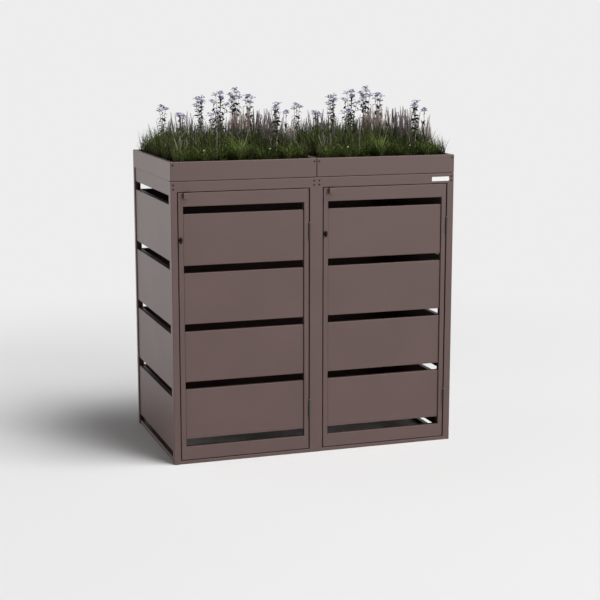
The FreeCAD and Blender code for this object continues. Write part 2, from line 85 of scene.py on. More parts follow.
class Shader:
    """A material's node tree, with short calls to add nodes and join them."""

    def __init__(self, name):
        self.material = bpy.data.materials.new(name)
        self.material.use_nodes = True
        self.tree = self.material.node_tree
        self.surface = self.tree.nodes["Principled BSDF"]

    def add(self, kind, **settings):
        node = self.tree.nodes.new(f"ShaderNode{kind}")
        for key, value in settings.items():
            setattr(node, key, value)
        return node

    def join(self, source, out, target, into):
        self.tree.links.new(source.outputs[out], target.inputs[into])

    def place(self):
        """Coordinates in metres and normals, both of which stay with the piece."""
        return self.add("TexCoord")

    def noise(self, place, scale, detail=3.0, roughness=0.5):
        node = self.add("TexNoise")
        node.inputs["Scale"].default_value = scale
        node.inputs["Detail"].default_value = detail
        node.inputs["Roughness"].default_value = roughness
        self.join(place, "Object", node, "Vector")
        return node

    def ramp(self, source, out, stops):
        """A colour ramp through (position, colour) stops."""
        node = self.add("ValToRGB")
        elements = node.color_ramp.elements
        while len(elements) < len(stops):
            elements.new(0.5)
        for element, (position, colour) in zip(elements, stops):
            element.position = position
            element.color = (*colour, 1.0)
        self.join(source, out, node, "Fac")
        return node

    def span(self, source, out, low, high, start=0.0, end=1.0):
        """Maps start to end onto low to high."""
        node = self.add("MapRange")
        node.inputs["From Min"].default_value = start
        node.inputs["From Max"].default_value = end
        node.inputs["To Min"].default_value = low
        node.inputs["To Max"].default_value = high
        self.join(source, out, node, "Value")
        return node

    def multiply(self, source, out):
        """Multiplies a colour by what is given or joined to socket MIX_B."""
        node = self.add("Mix", data_type="RGBA", blend_type="MULTIPLY")
        node.inputs["Factor"].default_value = 1.0
        self.join(source, out, node, MIX_A)
        return node

    def bump(self, source, out, distance, strength=1.0, after=None):
        node = self.add("Bump")
        node.inputs["Strength"].default_value = strength
        node.inputs["Distance"].default_value = distance
        self.join(source, out, node, "Height")
        if after:
            self.join(after, "Normal", node, "Normal")
        return node


def shade(colour, factor):
    return tuple(part * factor for part in colour)


def grey(level):
    return (level, level, level)


def inside_shade_mask(shader, place, front):
    """Mask of the painted shade: 1 on what lies inside the closed store, behind the face at front, and 0
    elsewhere and on backs.
    """
    low = Vector((INSIDE_LOW.x, front, INSIDE_LOW.z))
    centred = shader.add("VectorMath", operation="SUBTRACT")
    centred.inputs[1].default_value = (low + INSIDE_HIGH) / 2
    shader.join(place, "Object", centred, 0)
    folded = shader.add("VectorMath", operation="ABSOLUTE")
    shader.join(centred, 0, folded, 0)
    beyond = shader.add("VectorMath", operation="SUBTRACT")
    beyond.inputs[1].default_value = (INSIDE_HIGH - low) / 2
    shader.join(folded, 0, beyond, 0)
    parts = shader.add("SeparateXYZ")
    shader.join(beyond, 0, parts, 0)
    across = shader.add("Math", operation="MAXIMUM")
    shader.join(parts, "X", across, 0)
    shader.join(parts, "Y", across, 1)
    furthest = shader.add("Math", operation="MAXIMUM")
    shader.join(across, 0, furthest, 0)
    shader.join(parts, "Z", furthest, 1)
    within = shader.span(furthest, 0, 1.0, 0.0, start=-1.5 * HALF_SHEET, end=-0.5 * HALF_SHEET)
    facing = shader.add("SeparateXYZ")
    shader.join(place, "Normal", facing, 0)
    turned = shader.span(facing, "Y", 1.0, 0.0, start=BACKWARD[0], end=BACKWARD[1])
    both = shader.add("Math", operation="MULTIPLY")
    shader.join(within, "Result", both, 0)
    shader.join(turned, "Result", both, 1)
    return both


def powder_coat(name, front):
    """Powder coat with a tight grain and a slow drift of tone, darkened and dulled by painted shade inside
    the store.
    """
    shader = Shader(name)
    place = shader.place()
    drift = shader.noise(place, scale=3.0, detail=4.0, roughness=0.6)
    tone = shader.ramp(drift, "Fac", [(0.3, shade(COAT, 0.94)), (0.7, shade(COAT, 1.06))])
    grain = shader.noise(place, scale=1400.0, detail=1.0)
    flecks = shader.ramp(grain, "Fac", [(0.35, grey(0.9)), (0.65, grey(1.08))])
    flecked = shader.multiply(tone, "Color")
    shader.join(flecks, "Color", flecked, MIX_B)
    # Painted shade: the coat is made darker and less glossy on faces inside the closed store
    inside = inside_shade_mask(shader, place, front)
    shaded = shader.multiply(flecked, MIX_RESULT)
    shaded.inputs[MIX_B].default_value = (*grey(PAINTED_INSIDE_SHADE), 1)
    shader.join(inside, 0, shaded, 0)
    shader.join(shaded, MIX_RESULT, shader.surface, "Base Color")
    rough = shader.span(drift, "Fac", 0.40, 0.52)
    shader.join(rough, "Result", shader.surface, "Roughness")
    gloss = shader.span(inside, 0, COAT_GLOSS, PAINTED_SHADE_GLOSS)
    shader.join(gloss, "Result", shader.surface, "Specular IOR Level")
    skin = shader.noise(place, scale=260.0, detail=2.0)
    soft = shader.bump(skin, "Fac", distance=0.00012, strength=0.5)
    fine = shader.bump(grain, "Fac", distance=0.00006, strength=0.8, after=soft)
    shader.join(fine, "Normal", shader.surface, "Normal")
    return shader.material


def plain_finish(name, colour, roughness, grain_scale, grain_depth, metallic=0.0, spread=0.06, gloss=0.5):
    """A fine-grained solid finish for small parts."""
    swing = 0.06
    shader = Shader(name)
    grain = shader.noise(shader.place(), grain_scale)
    tone = shader.ramp(grain, "Fac", [(0.3, shade(colour, 1 - spread)), (0.7, shade(colour, 1 + spread))])
    shader.join(tone, "Color", shader.surface, "Base Color")
    rough = shader.span(grain, "Fac", roughness - swing, roughness + swing)
    shader.join(rough, "Result", shader.surface, "Roughness")
    relief = shader.bump(grain, "Fac", grain_depth)
    shader.join(relief, "Normal", shader.surface, "Normal")
    shader.surface.inputs["Metallic"].default_value = metallic
    shader.surface.inputs["Specular IOR Level"].default_value = gloss
    return shader.material


def compost():
    """Dark moist compost with paler clods and small crumbs."""
    shader = Shader("compost")
    place = shader.place()
    clods = shader.noise(place, scale=120.0, detail=8.0, roughness=0.7)
    tone = shader.ramp(clods, "Fac", [(0.3, (0.006, 0.004, 0.003)), (0.55, (0.022, 0.013, 0.008)),
                                      (0.8, (0.055, 0.034, 0.02))])
    shader.join(tone, "Color", shader.surface, "Base Color")
    shader.surface.inputs["Roughness"].default_value = 0.95
    crumbs = shader.noise(place, scale=420.0, detail=6.0, roughness=0.7)
    relief = shader.bump(crumbs, "Fac", distance=0.002)
    shader.join(relief, "Normal", shader.surface, "Normal")
    return shader.material


def foliage(name, stops, foot_shade):
    """A leaf finish: each leaf has its own tone, with painted shade that darkens it towards its foot, and
    fine veins along it.
    """
    shader = Shader(name)
    leaf = shader.add("Attribute", attribute_name="leaf")
    parts = shader.add("SeparateColor")
    shader.join(leaf, "Color", parts, "Color")
    tone = shader.ramp(parts, "Red", stops)
    # Painted shade: each leaf is darker towards its foot, down among the others
    foot = shader.ramp(parts, "Green", [(0.12, grey(foot_shade)), (0.62, grey(1.0))])
    foot_shaded = shader.multiply(tone, "Color")
    shader.join(foot, "Color", foot_shaded, MIX_B)
    shader.join(foot_shaded, MIX_RESULT, shader.surface, "Base Color")
    veins = shader.noise(shader.place(), scale=900.0, detail=2.0)
    rough = shader.span(veins, "Fac", 0.5, 0.7)
    shader.join(rough, "Result", shader.surface, "Roughness")
    relief = shader.bump(veins, "Fac", distance=0.0002)
    shader.join(relief, "Normal", shader.surface, "Normal")
    shader.surface.inputs["Specular IOR Level"].default_value = 0.15
    return shader.material


# Both coats carry the painted inside shade; on the frame it starts just behind its front face
coat = powder_coat("powder_coat", INSIDE_LOW.y)
frame_coat = powder_coat("powder_coat_frame", FRONT)
hinge_coat = plain_finish("hinge_zinc", (0.036, 0.033, 0.036), roughness=0.50, grain_scale=800.0,
                          grain_depth=0.00004, metallic=0.5)
black = plain_finish("latch_black", (0.009, 0.005, 0.004), roughness=0.55, grain_scale=900.0,
                     grain_depth=0.00005, gloss=0.14)
zinc = plain_finish("bright_zinc", (0.32, 0.32, 0.33), roughness=0.42, grain_scale=700.0,
                    grain_depth=0.00003, metallic=1.0)
rivet_black = plain_finish("rivet_black", (0.019, 0.014, 0.014), roughness=0.6, grain_scale=1200.0,
                           grain_depth=0.00003, gloss=0.2)
plate_white = plain_finish("plate_white", (0.78, 0.77, 0.77), roughness=0.38, grain_scale=1500.0,
                           grain_depth=0.00001, spread=0.015)
soil_finish = compost()
sedge_green = foliage("sedge_green", [(0.0, (0.050, 0.070, 0.014)), (0.5, (0.115, 0.165, 0.030)),
                                      (1.0, (0.28, 0.37, 0.10))], foot_shade=0.32)
fescue_green = foliage("fescue_green", [(0.0, (0.016, 0.020, 0.007)), (0.5, (0.046, 0.054, 0.016)),
                                        (1.0, (0.125, 0.146, 0.043))], foot_shade=0.66)
plume_brown = foliage("plume_brown", [(0.0, (0.62, 0.49, 0.42)), (0.3, (0.66, 0.53, 0.50)),
                                      (0.55, (0.40, 0.34, 0.38)), (0.75, (0.15, 0.125, 0.12)),
                                      (1.0, (0.080, 0.090, 0.052))], foot_shade=1.0)
stem_green = foliage("stem_green", [(0.0, (0.012, 0.017, 0.008)), (0.6, (0.028, 0.036, 0.017)),
                                    (1.0, (0.085, 0.095, 0.060))], foot_shade=0.7)
petal_blue = foliage("petal_blue", [(0.0, (0.15, 0.14, 0.26)), (0.5, (0.33, 0.31, 0.50)),
                                    (1.0, (0.56, 0.55, 0.72))], foot_shade=0.85)
petal_yellow = foliage("petal_yellow", [(0.0, (0.55, 0.48, 0.28)), (1.0, (0.85, 0.83, 0.52))],
                       foot_shade=0.8)

FINISH_OF_SLOT = {"powder_coat": coat, "hinge_steel": hinge_coat, "latch_black": black, "pin_steel": zinc}
FRAME_NODES = ("front_", "door_frame_")
slot_of_node = {item["node"]: item["material_slot"] for item in frame["record"]["subparts"]}
for node, item in frame["nodes"].items():
    finish = FINISH_OF_SLOT.get(slot_of_node[node])
    if node.startswith(FRAME_NODES):
        finish = frame_coat
    if finish:
        item.data.materials.clear()
        item.data.materials.append(finish)


# Mesh helpers

def make_piece(name, points, faces, materials, face_materials=None, smooth=True):
    """Makes a mesh object. Where it has several materials, face_materials numbers one for each face."""
    mesh = bpy.data.meshes.new(name)
    mesh.from_pydata(points, [], faces)
    for material in materials:
        mesh.materials.append(material)
    if face_materials:
        mesh.polygons.foreach_set("material_index", face_materials)
    if smooth:
        mesh.polygons.foreach_set("use_smooth", [True] * len(faces))
    mesh.update()
    piece = bpy.data.objects.new(name, mesh)
    bpy.context.scene.collection.objects.link(piece)
    return piece


def closed_stack(rings, sides):
    """The faces round a stack of rings of points, with a face over each end."""
    faces = []
    for ring in range(rings - 1):
        low = ring * sides
        for k in range(sides):
            after = (k + 1) % sides
            faces.append((low + k, low + after, low + sides + after, low + sides + k))
    faces.append(tuple(reversed(range(sides))))
    faces.append(tuple((rings - 1) * sides + k for k in range(sides)))
    return faces


def towards(azimuth, reach=1.0, rise=0.0):
    """A vector with a level reach towards an azimuth, counted from +X towards +Y, and a rise."""
    return Vector((math.cos(azimuth) * reach, math.sin(azimuth) * reach, rise))


# The map of a piece: a leaf's kind and tone set how far right it lies, and it runs upwards from foot to tip
TONE_START = 0.06
TONE_SPAN = 0.88
HALF_LEAF = 0.04
ALONG_START = 0.04
ALONG_SPAN = 0.92
# A direction that no stem follows
ASKEW = Vector((0.31, 0.95, 0))
# Places along an oval leaf, with the share of its width there
LEAF_OUTLINE = ((0.0, 0.08), (0.3, 0.8), (0.6, 1.0), (0.85, 0.55))


class Growth:
    """Gathers the leaves, stems and petals of one piece, with a tone and a place along the leaf.

    A kind is the number of the material in the list that build takes.
    """

    def __init__(self, kind_count):
        self.kind_count = kind_count
        self.points = []
        self.faces = []
        self.kinds = []
        self.tones = []
        self.places = []

    def add_point(self, point, tone, along, across, kind=0):
        self.points.append(tuple(point))
        self.tones.extend((tone, along, 0.0, 1.0))
        right = (kind + TONE_START + TONE_SPAN * tone + HALF_LEAF * across) / self.kind_count
        self.places.append((right, ALONG_START + ALONG_SPAN * along))
        return len(self.points) - 1

    def add_face(self, corners, kind=0):
        self.faces.append(corners)
        self.kinds.append(kind)

    def ribbon(self, spine, width, tone):
        """A blade along a spine: two halves folded down the middle, pointed at the tip."""
        taper = 0.75
        fold = 0.35
        no_length = 1e-4
        count = len(spine)
        last = None
        for i, point in enumerate(spine[:-1]):
            along = i / (count - 1)
            ahead = (spine[i + 1] - point).normalized()
            across = ahead.cross(UPRIGHT)
            if across.length < no_length:
                across = Vector((1, 0, 0))
            across = (across - ahead * across.dot(ahead)).normalized()
            up = across.cross(ahead)
            half = 0.5 * width * (1.0 - taper * along ** 2)
            ring = [self.add_point(point - across * half, tone, along, -1),
                    self.add_point(point - up * half * fold, tone, along, 0),
                    self.add_point(point + across * half, tone, along, 1)]
            if last:
                self.add_face((last[0], last[1], ring[1], ring[0]))
                self.add_face((last[1], last[2], ring[2], ring[1]))
            last = ring
        tip = self.add_point(spine[-1], tone, 1.0, 0)
        self.add_face((last[0], last[1], tip))
        self.add_face((last[1], last[2], tip))

    def tube(self, spine, foot_radius, tip_radius, tone, sides=5):
        """A closed round stem along a spine."""
        count = len(spine)
        rings = []
        for i, point in enumerate(spine):
            along = i / (count - 1)
            ahead = (spine[min(i + 1, count - 1)] - spine[max(i - 1, 0)]).normalized()
            across = ahead.cross(ASKEW).normalized()
            up = across.cross(ahead)
            radius = foot_radius + (tip_radius - foot_radius) * along
            ring = []
            for k in range(sides):
                angle = math.tau * k / sides
                offset = across * math.cos(angle) + up * math.sin(angle)
                ring.append(self.add_point(point + offset * radius, tone, along, 1 - 2 * k / sides))
            rings.append(ring)
        for low, high in zip(rings, rings[1:]):
            for k in range(sides):
                after = (k + 1) % sides
                self.add_face((low[k], low[after], high[after], high[k]))
        self.add_face(tuple(reversed(rings[0])))
        self.add_face(tuple(rings[-1]))

    def leaf(self, base, direction, normal, length, width, tone, kind, droop):
        """A pointed oval leaf, folded a little along its rib and drooping at its tip."""
        fold = 0.18
        direction = direction.normalized()
        across = normal.cross(direction).normalized()
        up = direction.cross(across)
        rib = []
        edges = []
        for along, share in LEAF_OUTLINE:
            centre = base + direction * length * along - up * length * droop * along * along
            rib.append(self.add_point(centre, tone, along, 0, kind))
            half = across * 0.5 * width * share
            lift = up * fold * width * share
            edges.append((self.add_point(centre - half + lift, tone, along, -1, kind),
                          self.add_point(centre + half + lift, tone, along, 1, kind)))
        tip = self.add_point(base + direction * length - up * length * droop, tone, 1.0, 0, kind)
        for i in range(len(LEAF_OUTLINE) - 1):
            self.add_face((edges[i][0], rib[i], rib[i + 1], edges[i + 1][0]), kind)
            self.add_face((rib[i], edges[i][1], edges[i + 1][1], rib[i + 1]), kind)
        self.add_face((edges[-1][0], rib[-1], tip), kind)
        self.add_face((rib[-1], edges[-1][1], tip), kind)

    def build(self, name, materials):
        """Makes the piece, with its tones as a colour attribute and its places as a map."""
        piece = make_piece(name, self.points, self.faces, materials, self.kinds)
        mesh = piece.data
        layer = mesh.color_attributes.new("leaf", "FLOAT_COLOR", "POINT")
        layer.data.foreach_set("color", self.tones)
        corner_points = np.empty(len(mesh.loops), dtype=np.int32)
        mesh.loops.foreach_get("vertex_index", corner_points)
        tone_map = mesh.uv_layers.new(name="OFBake")
        tone_map.uv.foreach_set("vector", np.array(self.places, dtype=np.float32)[corner_points].ravel())
        return piece


def arch(root, azimuth, tilt, bend, length, steps):
    """Points of a blade that rises at a tilt from upright and bends over towards its tip."""
    late_bend = 1.6
    outward = towards(azimuth)
    step = length / steps
    points = [root.copy()]
    place = root.copy()
    for i in range(steps):
        angle = tilt + bend * ((i + 0.5) / steps) ** late_bend
        place = place + (outward * math.sin(angle) + UPRIGHT * math.cos(angle)) * step
        points.append(place.copy())
    return points


def any_direction(rng, tilt_low, tilt_high):
    """A random direction, tilted from upright by between two angles."""
    azimuth = rng.uniform(0, math.tau)
    tilt = rng.uniform(tilt_low, tilt_high)
    return towards(azimuth, math.sin(tilt), math.cos(tilt))


# Planting, in a frame whose origin is a planter's left front corner at the height of its compost

BED_WIDTH = HALF_WIDTH
BED_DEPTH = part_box("planter_left")[1].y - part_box("planter_left")[0].y
RIM_RISE = RIM - SOIL_TOP
# How far plants stand from the edges of their planter, and the tussocks of fescue from its sides
EDGE = 0.030
SIDE_EDGE = 0.036
# How far blades stay inside the planter's outer faces above its rim, and below it, where the lip is
LEAN_MARGIN = 0.003
LIP_MARGIN = 0.021
# Turn from one bract, shoot or stalk to the next, which doesn't line them up
NEXT_TURN = 2.4
# Kinds in a piece of stems with flowers
STEM = 0
PETAL = 1

# Fine dark tussocks: how far apart, how far off their rows, how long, and where the back piece takes over
FESCUE_PITCH = 0.050
FESCUE_SCATTER = 0.010
FESCUE_LENGTH = 0.194
FESCUE_SPLIT = 0.42
# Bright tussocks: blades and length at size 1, then across, back and size of each
SEDGE_BLADES = 130
SEDGE_LENGTH = 0.196
SEDGES = (
    (0.070, 0.055, 0.95), (0.175, 0.050, 0.95), (0.265, 0.065, 0.85), (0.362, 0.060, 1.40),
    (0.470, 0.060, 0.85), (0.600, 0.055, 1.05), (0.660, 0.075, 0.95), (0.075, 0.235, 1.20),
    (0.215, 0.215, 1.10), (0.430, 0.230, 1.15), (0.655, 0.260, 1.20), (0.120, 0.400, 1.20),
    (0.330, 0.390, 1.20), (0.590, 0.420, 1.20), (0.075, 0.560, 1.20), (0.260, 0.560, 1.20),
    (0.655, 0.560, 1.20), (0.150, 0.770, 1.00), (0.380, 0.775, 1.05), (0.560, 0.772, 0.95),
    (0.655, 0.760, 0.95), (0.075, 0.760, 1.00),
)
# Groups of spikes: across, back, spread, number, height, hue from tan over mauve to dark green
PLUMES = (
    (0.190, 0.500, 0.024, 30, 0.231, 0.68), (0.088, 0.130, 0.016, 6, 0.160, 0.42),
    (0.270, 0.500, 0.022, 14, 0.205, 0.85), (0.331, 0.500, 0.010, 7, 0.215, 0.35),
    (0.360, 0.440, 0.026, 13, 0.195, 0.85), (0.410, 0.520, 0.022, 14, 0.200, 0.80),
    (0.475, 0.500, 0.023, 48, 0.246, 0.18), (0.536, 0.500, 0.017, 22, 0.242, 0.12),
    (0.522, 0.350, 0.014, 14, 0.240, 0.95), (0.540, 0.250, 0.018, 26, 0.246, 0.58),
    (0.592, 0.250, 0.018, 32, 0.242, 0.45), (0.660, 0.200, 0.016, 18, 0.208, 0.42),
    (0.545, 0.100, 0.018, 5, 0.150, 0.30), (0.620, 0.620, 0.024, 14, 0.205, 0.70),
    (0.110, 0.620, 0.026, 10, 0.190, 0.85), (0.320, 0.700, 0.030, 12, 0.195, 0.80),
)
STRAY_SPIKES = 60
STRAY_FULLNESS = 0.62
DRY_STALK = (0.248, 0.070)
# Tall plants in flower: across, back, top above the ground, spread and number of the shoots
TALL_FLOWERS = (
    (0.133, 0.700, 1.716, 0.044, 3), (0.333, 0.700, 1.766, 0.056, 5), (0.432, 0.695, 1.786, 0.086, 6),
    (0.516, 0.690, 1.804, 0.078, 6), (0.556, 0.100, 1.748, 0.032, 3), (0.592, 0.690, 1.768, 0.052, 4),
    (0.606, 0.100, 1.710, 0.006, 1), (0.190, 0.560, 1.684, 0.050, 3), (0.385, 0.600, 1.688, 0.060, 2),
)
# How far a flat head rises above the tip of its shoot
HEAD_RISE = 0.006
YELLOW_FLOWERS = ((0.176, 0.050), (0.503, 0.052), (0.460, 0.780))


def inside_bed(spine):
    """Says whether a blade stays over its own planter and clear of the lip of the rim."""
    for point in spine:
        margin = LEAN_MARGIN if point.z > RIM_RISE else LIP_MARGIN
        if not margin < point.x < BED_WIDTH - margin:
            return False
        if not margin < point.y < BED_DEPTH - margin:
            return False
    return True


def growing(distance, reach, start, gain):
    """A share that grows from start at an edge, by gain over a reach, and then stays."""
    return start + gain * min(1.0, distance / reach)


def vigour(x, y):
    """How tall plants stand at a place: patchy, and less towards the edges of the bed."""
    patches = 8.0
    layer = 3.1
    unevenness = 0.42
    from_side = min(x, BED_WIDTH - x) - SIDE_EDGE
    from_end = min(y, BED_DEPTH - y) - EDGE
    patchy = 1.0 + unevenness * noise.noise(Vector((x * patches, y * patches, layer)))
    return (patchy * growing(from_side, reach=0.12, start=0.84, gain=0.16)
            * growing(from_end, reach=0.20, start=0.80, gain=0.20))


def tuft(growth, rng, x, y, blades, length, width, tones, spread, tilt_high, bend):
    """One tussock: blades that rise from a small foot and arch outwards all round."""
    tries = 4
    steps = 5
    for _ in range(blades):
        azimuth = rng.uniform(0, math.tau)
        foot = rng.uniform(0, spread)
        root = Vector((x, y, 0)) + towards(azimuth, foot)
        size = length * rng.uniform(0.6, 1.08)
        for _ in range(tries):
            tilt = rng.uniform(0.02, tilt_high)
            turn = azimuth + rng.gauss(0, 0.5)
            spine = arch(root, turn, tilt, rng.uniform(*bend), size, steps)
            if inside_bed(spine):
                growth.ribbon(spine, width * rng.uniform(0.75, 1.15), rng.uniform(*tones))
                break
            azimuth += math.pi * rng.uniform(0.6, 1.4)


def fescue(name, seed, front, back):
    """Dark fine tussocks over the part of the bed from front to back, lower along the front of the bed."""
    rng = random.Random(seed)
    growth = Growth(1)
    tone_span = 0.5
    columns = int((BED_WIDTH - 2 * SIDE_EDGE) / FESCUE_PITCH)
    rows = int((back - front) / FESCUE_PITCH)
    for column in range(columns + 1):
        for row in range(rows + 1):
            x = SIDE_EDGE + (BED_WIDTH - 2 * SIDE_EDGE) * column / columns + rng.gauss(0, FESCUE_SCATTER)
            y = front + (back - front) * (row + 0.5) / (rows + 1) + rng.gauss(0, FESCUE_SCATTER)
            x = min(max(x, SIDE_EDGE), BED_WIDTH - SIDE_EDGE)
            y = min(max(y, EDGE), BED_DEPTH - EDGE)
            light = rng.choice((0.0, 0.05, 0.2, 0.4, 0.5))
            length = FESCUE_LENGTH * vigour(x, y) * growing(y, reach=0.16, start=0.72, gain=0.28)
            tuft(growth, rng, x, y, blades=46, length=length, width=0.0022,
                 tones=(light, light + tone_span), spread=0.020, tilt_high=0.70, bend=(0.2, 1.5))
    return growth.build(name, [fescue_green])


def fescue_front(name):
    return fescue(name, 11, EDGE, FESCUE_SPLIT)


def fescue_back(name):
    return fescue(name, 12, FESCUE_SPLIT, BED_DEPTH - EDGE)


def sedge_tussocks(name):
    """The brighter, broader-leaved tussocks among the fescue. The larger ones are paler."""
    rng = random.Random(17)
    growth = Growth(1)
    tone_span = 0.7
    paler_by_size = 0.3
    for x, y, size in SEDGES:
        light = rng.uniform(0.0, 0.3) + max(0.0, paler_by_size * (size - 1.0))
        tones = (light, min(1.0, light + tone_span))
        tuft(growth, rng, x, y, blades=int(SEDGE_BLADES * size), length=SEDGE_LENGTH * size * vigour(x, y),
             width=0.0034, tones=tones, spread=0.022, tilt_high=0.90, bend=(1.1, 2.6))
    return growth.build(name, [sedge_green])


def spike(growth, rng, root, height, length, hue, fullness):
    """A slim flower spike: thin stalk, then small bracts all round that shorten to the tip."""
    bract_pitch = 0.0017
    bract_width = 0.42
    shortening = 0.55
    low_share, low_spread = 0.45, 0.75
    high_share, high_spread = 0.55, 0.30
    lean = rng.uniform(0, math.tau)
    spine = arch(root, lean, tilt=rng.uniform(0.0, 0.15), bend=rng.uniform(0.0, 0.30), length=height,
                 steps=6)
    growth.tube(spine, foot_radius=0.0013, tip_radius=0.0008, tone=rng.uniform(0.55, 0.95), sides=4)
    top = spine[-1]
    ahead = (spine[-1] - spine[-2]).normalized()
    count = int(length / bract_pitch)
    for i in range(count):
        t = i / count
        base = top - ahead * length * (1 - t)
        outward = towards(i * NEXT_TURN)
        size = fullness * rng.uniform(0.0062, 0.0104) * (1.0 - shortening * t ** 2)
        middle = base + (outward * low_spread + ahead) * size * low_share
        tip = middle + (outward * high_spread + ahead) * size * high_share
        tone = min(1.0, max(0.0, hue + rng.gauss(0, 0.12)))
        growth.ribbon([base, middle, tip], size * bract_width, tone)


def spikes(name):
    """Groups of spikes, slimmer strays all over the bed, and one bare dry stalk."""
    rng = random.Random(23)
    growth = Growth(1)
    longest_share = 0.42
    side_margin, front_margin, back_margin = 0.08, 0.10, 0.05

    def add_spike(x, y, height, hue, fullness):
        x = min(max(x, EDGE), BED_WIDTH - EDGE)
        y = min(max(y, EDGE), BED_DEPTH - EDGE)
        length = min(rng.uniform(0.060, 0.100), longest_share * height)
        spike(growth, rng, Vector((x, y, 0)), height, length, hue, fullness)

    for x, y, spread, count, height, hue in PLUMES:
        for _ in range(count):
            add_spike(x + rng.gauss(0, spread), y + rng.gauss(0, spread), height * rng.uniform(0.68, 1.06),
                      hue, fullness=1.0)
    for _ in range(STRAY_SPIKES):
        x = rng.uniform(side_margin, BED_WIDTH - side_margin)
        y = rng.uniform(front_margin, BED_DEPTH - back_margin)
        height = rng.uniform(0.150, 0.205) * (0.6 + 0.4 * vigour(x, y))
        add_spike(x, y, height, rng.uniform(0.6, 1.0), STRAY_FULLNESS)
    stalk = arch(Vector((*DRY_STALK, 0)), azimuth=0.0, tilt=0.0, bend=0.03, length=0.225, steps=8)
    growth.tube(stalk, foot_radius=0.0012, tip_radius=0.0008, tone=0.6)
    return growth.build(name, [plume_brown])


def floret(growth, rng, centre, facing, size):
    """A ring of petals round a short throat."""
    petals = 5
    petal_width = 0.85
    cupping = 0.3
    facing = facing.normalized()
    across = facing.orthogonal().normalized()
    start = rng.uniform(0, math.tau)
    tone = rng.random()
    for k in range(petals):
        angle = start + math.tau * k / petals
        way = Matrix.Rotation(angle, 3, facing) @ across
        way = (way + facing * cupping).normalized()
        growth.leaf(centre, way, facing, size, size * petal_width, tone, PETAL, droop=0.25)


def flower_head(growth, rng, tip, width):
    """A flat head: short stalks that fan out from the tip of a shoot, each under a floret."""
    stalk_drop = 0.014
    hang = 0.25
    count = rng.randint(8, 12)
    foot = tip - Vector((0, 0, stalk_drop))
    for k in range(count):
        around = k * NEXT_TURN + rng.uniform(-0.4, 0.4)
        reach = 0.5 * width * math.sqrt((k + 0.4) / count)
        outward = towards(around)
        place = tip + outward * reach + Vector((0, 0, rng.uniform(-0.008, HEAD_RISE) - hang * reach))
        growth.tube([foot, place], foot_radius=0.0006, tip_radius=0.0005, tone=0.3, sides=3)
        facing = outward * rng.uniform(0.2, 1.1) + UPRIGHT
        floret(growth, rng, place, facing, rng.uniform(0.0058, 0.0076))


def leafy_shoot(growth, rng, root, tip, azimuth):
    """A stem that leaves its neighbours towards the top, with opposite leaves above the grass."""
    steps = 14
    parting = 1.8
    last_leaf = 0.93
    twist = 20
    rise = tip - root

    def on_stem(t):
        return root + Vector((rise.x * t ** parting, rise.y * t ** parting, rise.z * t))

    spine = [on_stem(i / steps) for i in range(steps + 1)]
    growth.tube(spine, foot_radius=0.0019, tip_radius=0.0009, tone=rng.uniform(0.2, 0.8))
    reach = rng.uniform(0.30, 0.40)
    while reach < last_leaf:
        place = on_stem(reach)
        turn = azimuth + reach * twist + rng.gauss(0, 0.5)
        for flip in (0.0, math.pi):
            out = towards(turn + flip, rise=rng.uniform(-0.9, 0.9))
            normal = Vector((rng.gauss(0, 0.6), rng.gauss(0, 0.6), 1.0))
            size = rng.uniform(0.016, 0.028)
            growth.leaf(place, out, normal, size, size * rng.uniform(0.48, 0.66), rng.random(), STEM,
                        droop=0.30)
        reach += rng.uniform(0.06, 0.14)


def tall_flower(growth, rng, root, height, spread, shoots):
    """Leafy shoots from one root, each under a flat head of small flowers."""
    shorter = 0.035
    start = rng.uniform(0, math.tau)
    for k in range(shoots):
        azimuth = start + k * NEXT_TURN
        reach = 0.5 * spread * math.sqrt((k + 0.3) / shoots)
        share = 1.0 - shorter * k + rng.uniform(-0.02, 0.0)
        tip = root + towards(azimuth, reach, height * share)
        leafy_shoot(growth, rng, root, tip, azimuth)
        flower_head(growth, rng, tip, rng.uniform(0.034, 0.050))


def tall_flowers(name):
    """The tall plants with flat heads of pale blue flowers."""
    rng = random.Random(5)
    growth = Growth(2)
    for x, y, top, spread, shoots in TALL_FLOWERS:
        tall_flower(growth, rng, Vector((x, y, 0)), top - SOIL_TOP - HEAD_RISE, spread, shoots)
    return growth.build(name, [stem_green, petal_blue])


def small_flowers(name):
    """The few pale yellow flowers low among the grass. They lean and look to the front."""
    rng = random.Random(41)
    growth = Growth(2)
    florets = 3
    head_radius = 0.004
    to_front = Vector((0, -0.6, 0))
    for x, y in YELLOW_FLOWERS:
        stem = arch(Vector((x, y, 0)), azimuth=-math.pi / 2, tilt=0.10, bend=0.2,
                    length=RIM_RISE + rng.uniform(0.042, 0.052), steps=4)
        growth.tube(stem, foot_radius=0.0011, tip_radius=0.0007, tone=0.6, sides=4)
        for _ in range(florets):
            place = stem[-1] + any_direction(rng, 0.2, 1.3) * head_radius
            floret(growth, rng, place, any_direction(rng, 0.0, 0.8) + to_front, size=0.0042)
    return growth.build(name, [stem_green, petal_yellow])


def lump(x, y):
    """How far the compost rises at a place."""
    lumps = 22
    layer = 1.7
    height = 0.006
    smoothness = 0.9
    lacunarity = 2.1
    octaves = 4
    place = Vector((x * lumps, y * lumps, layer))
    return noise.fractal(place, smoothness, lacunarity, octaves) * height


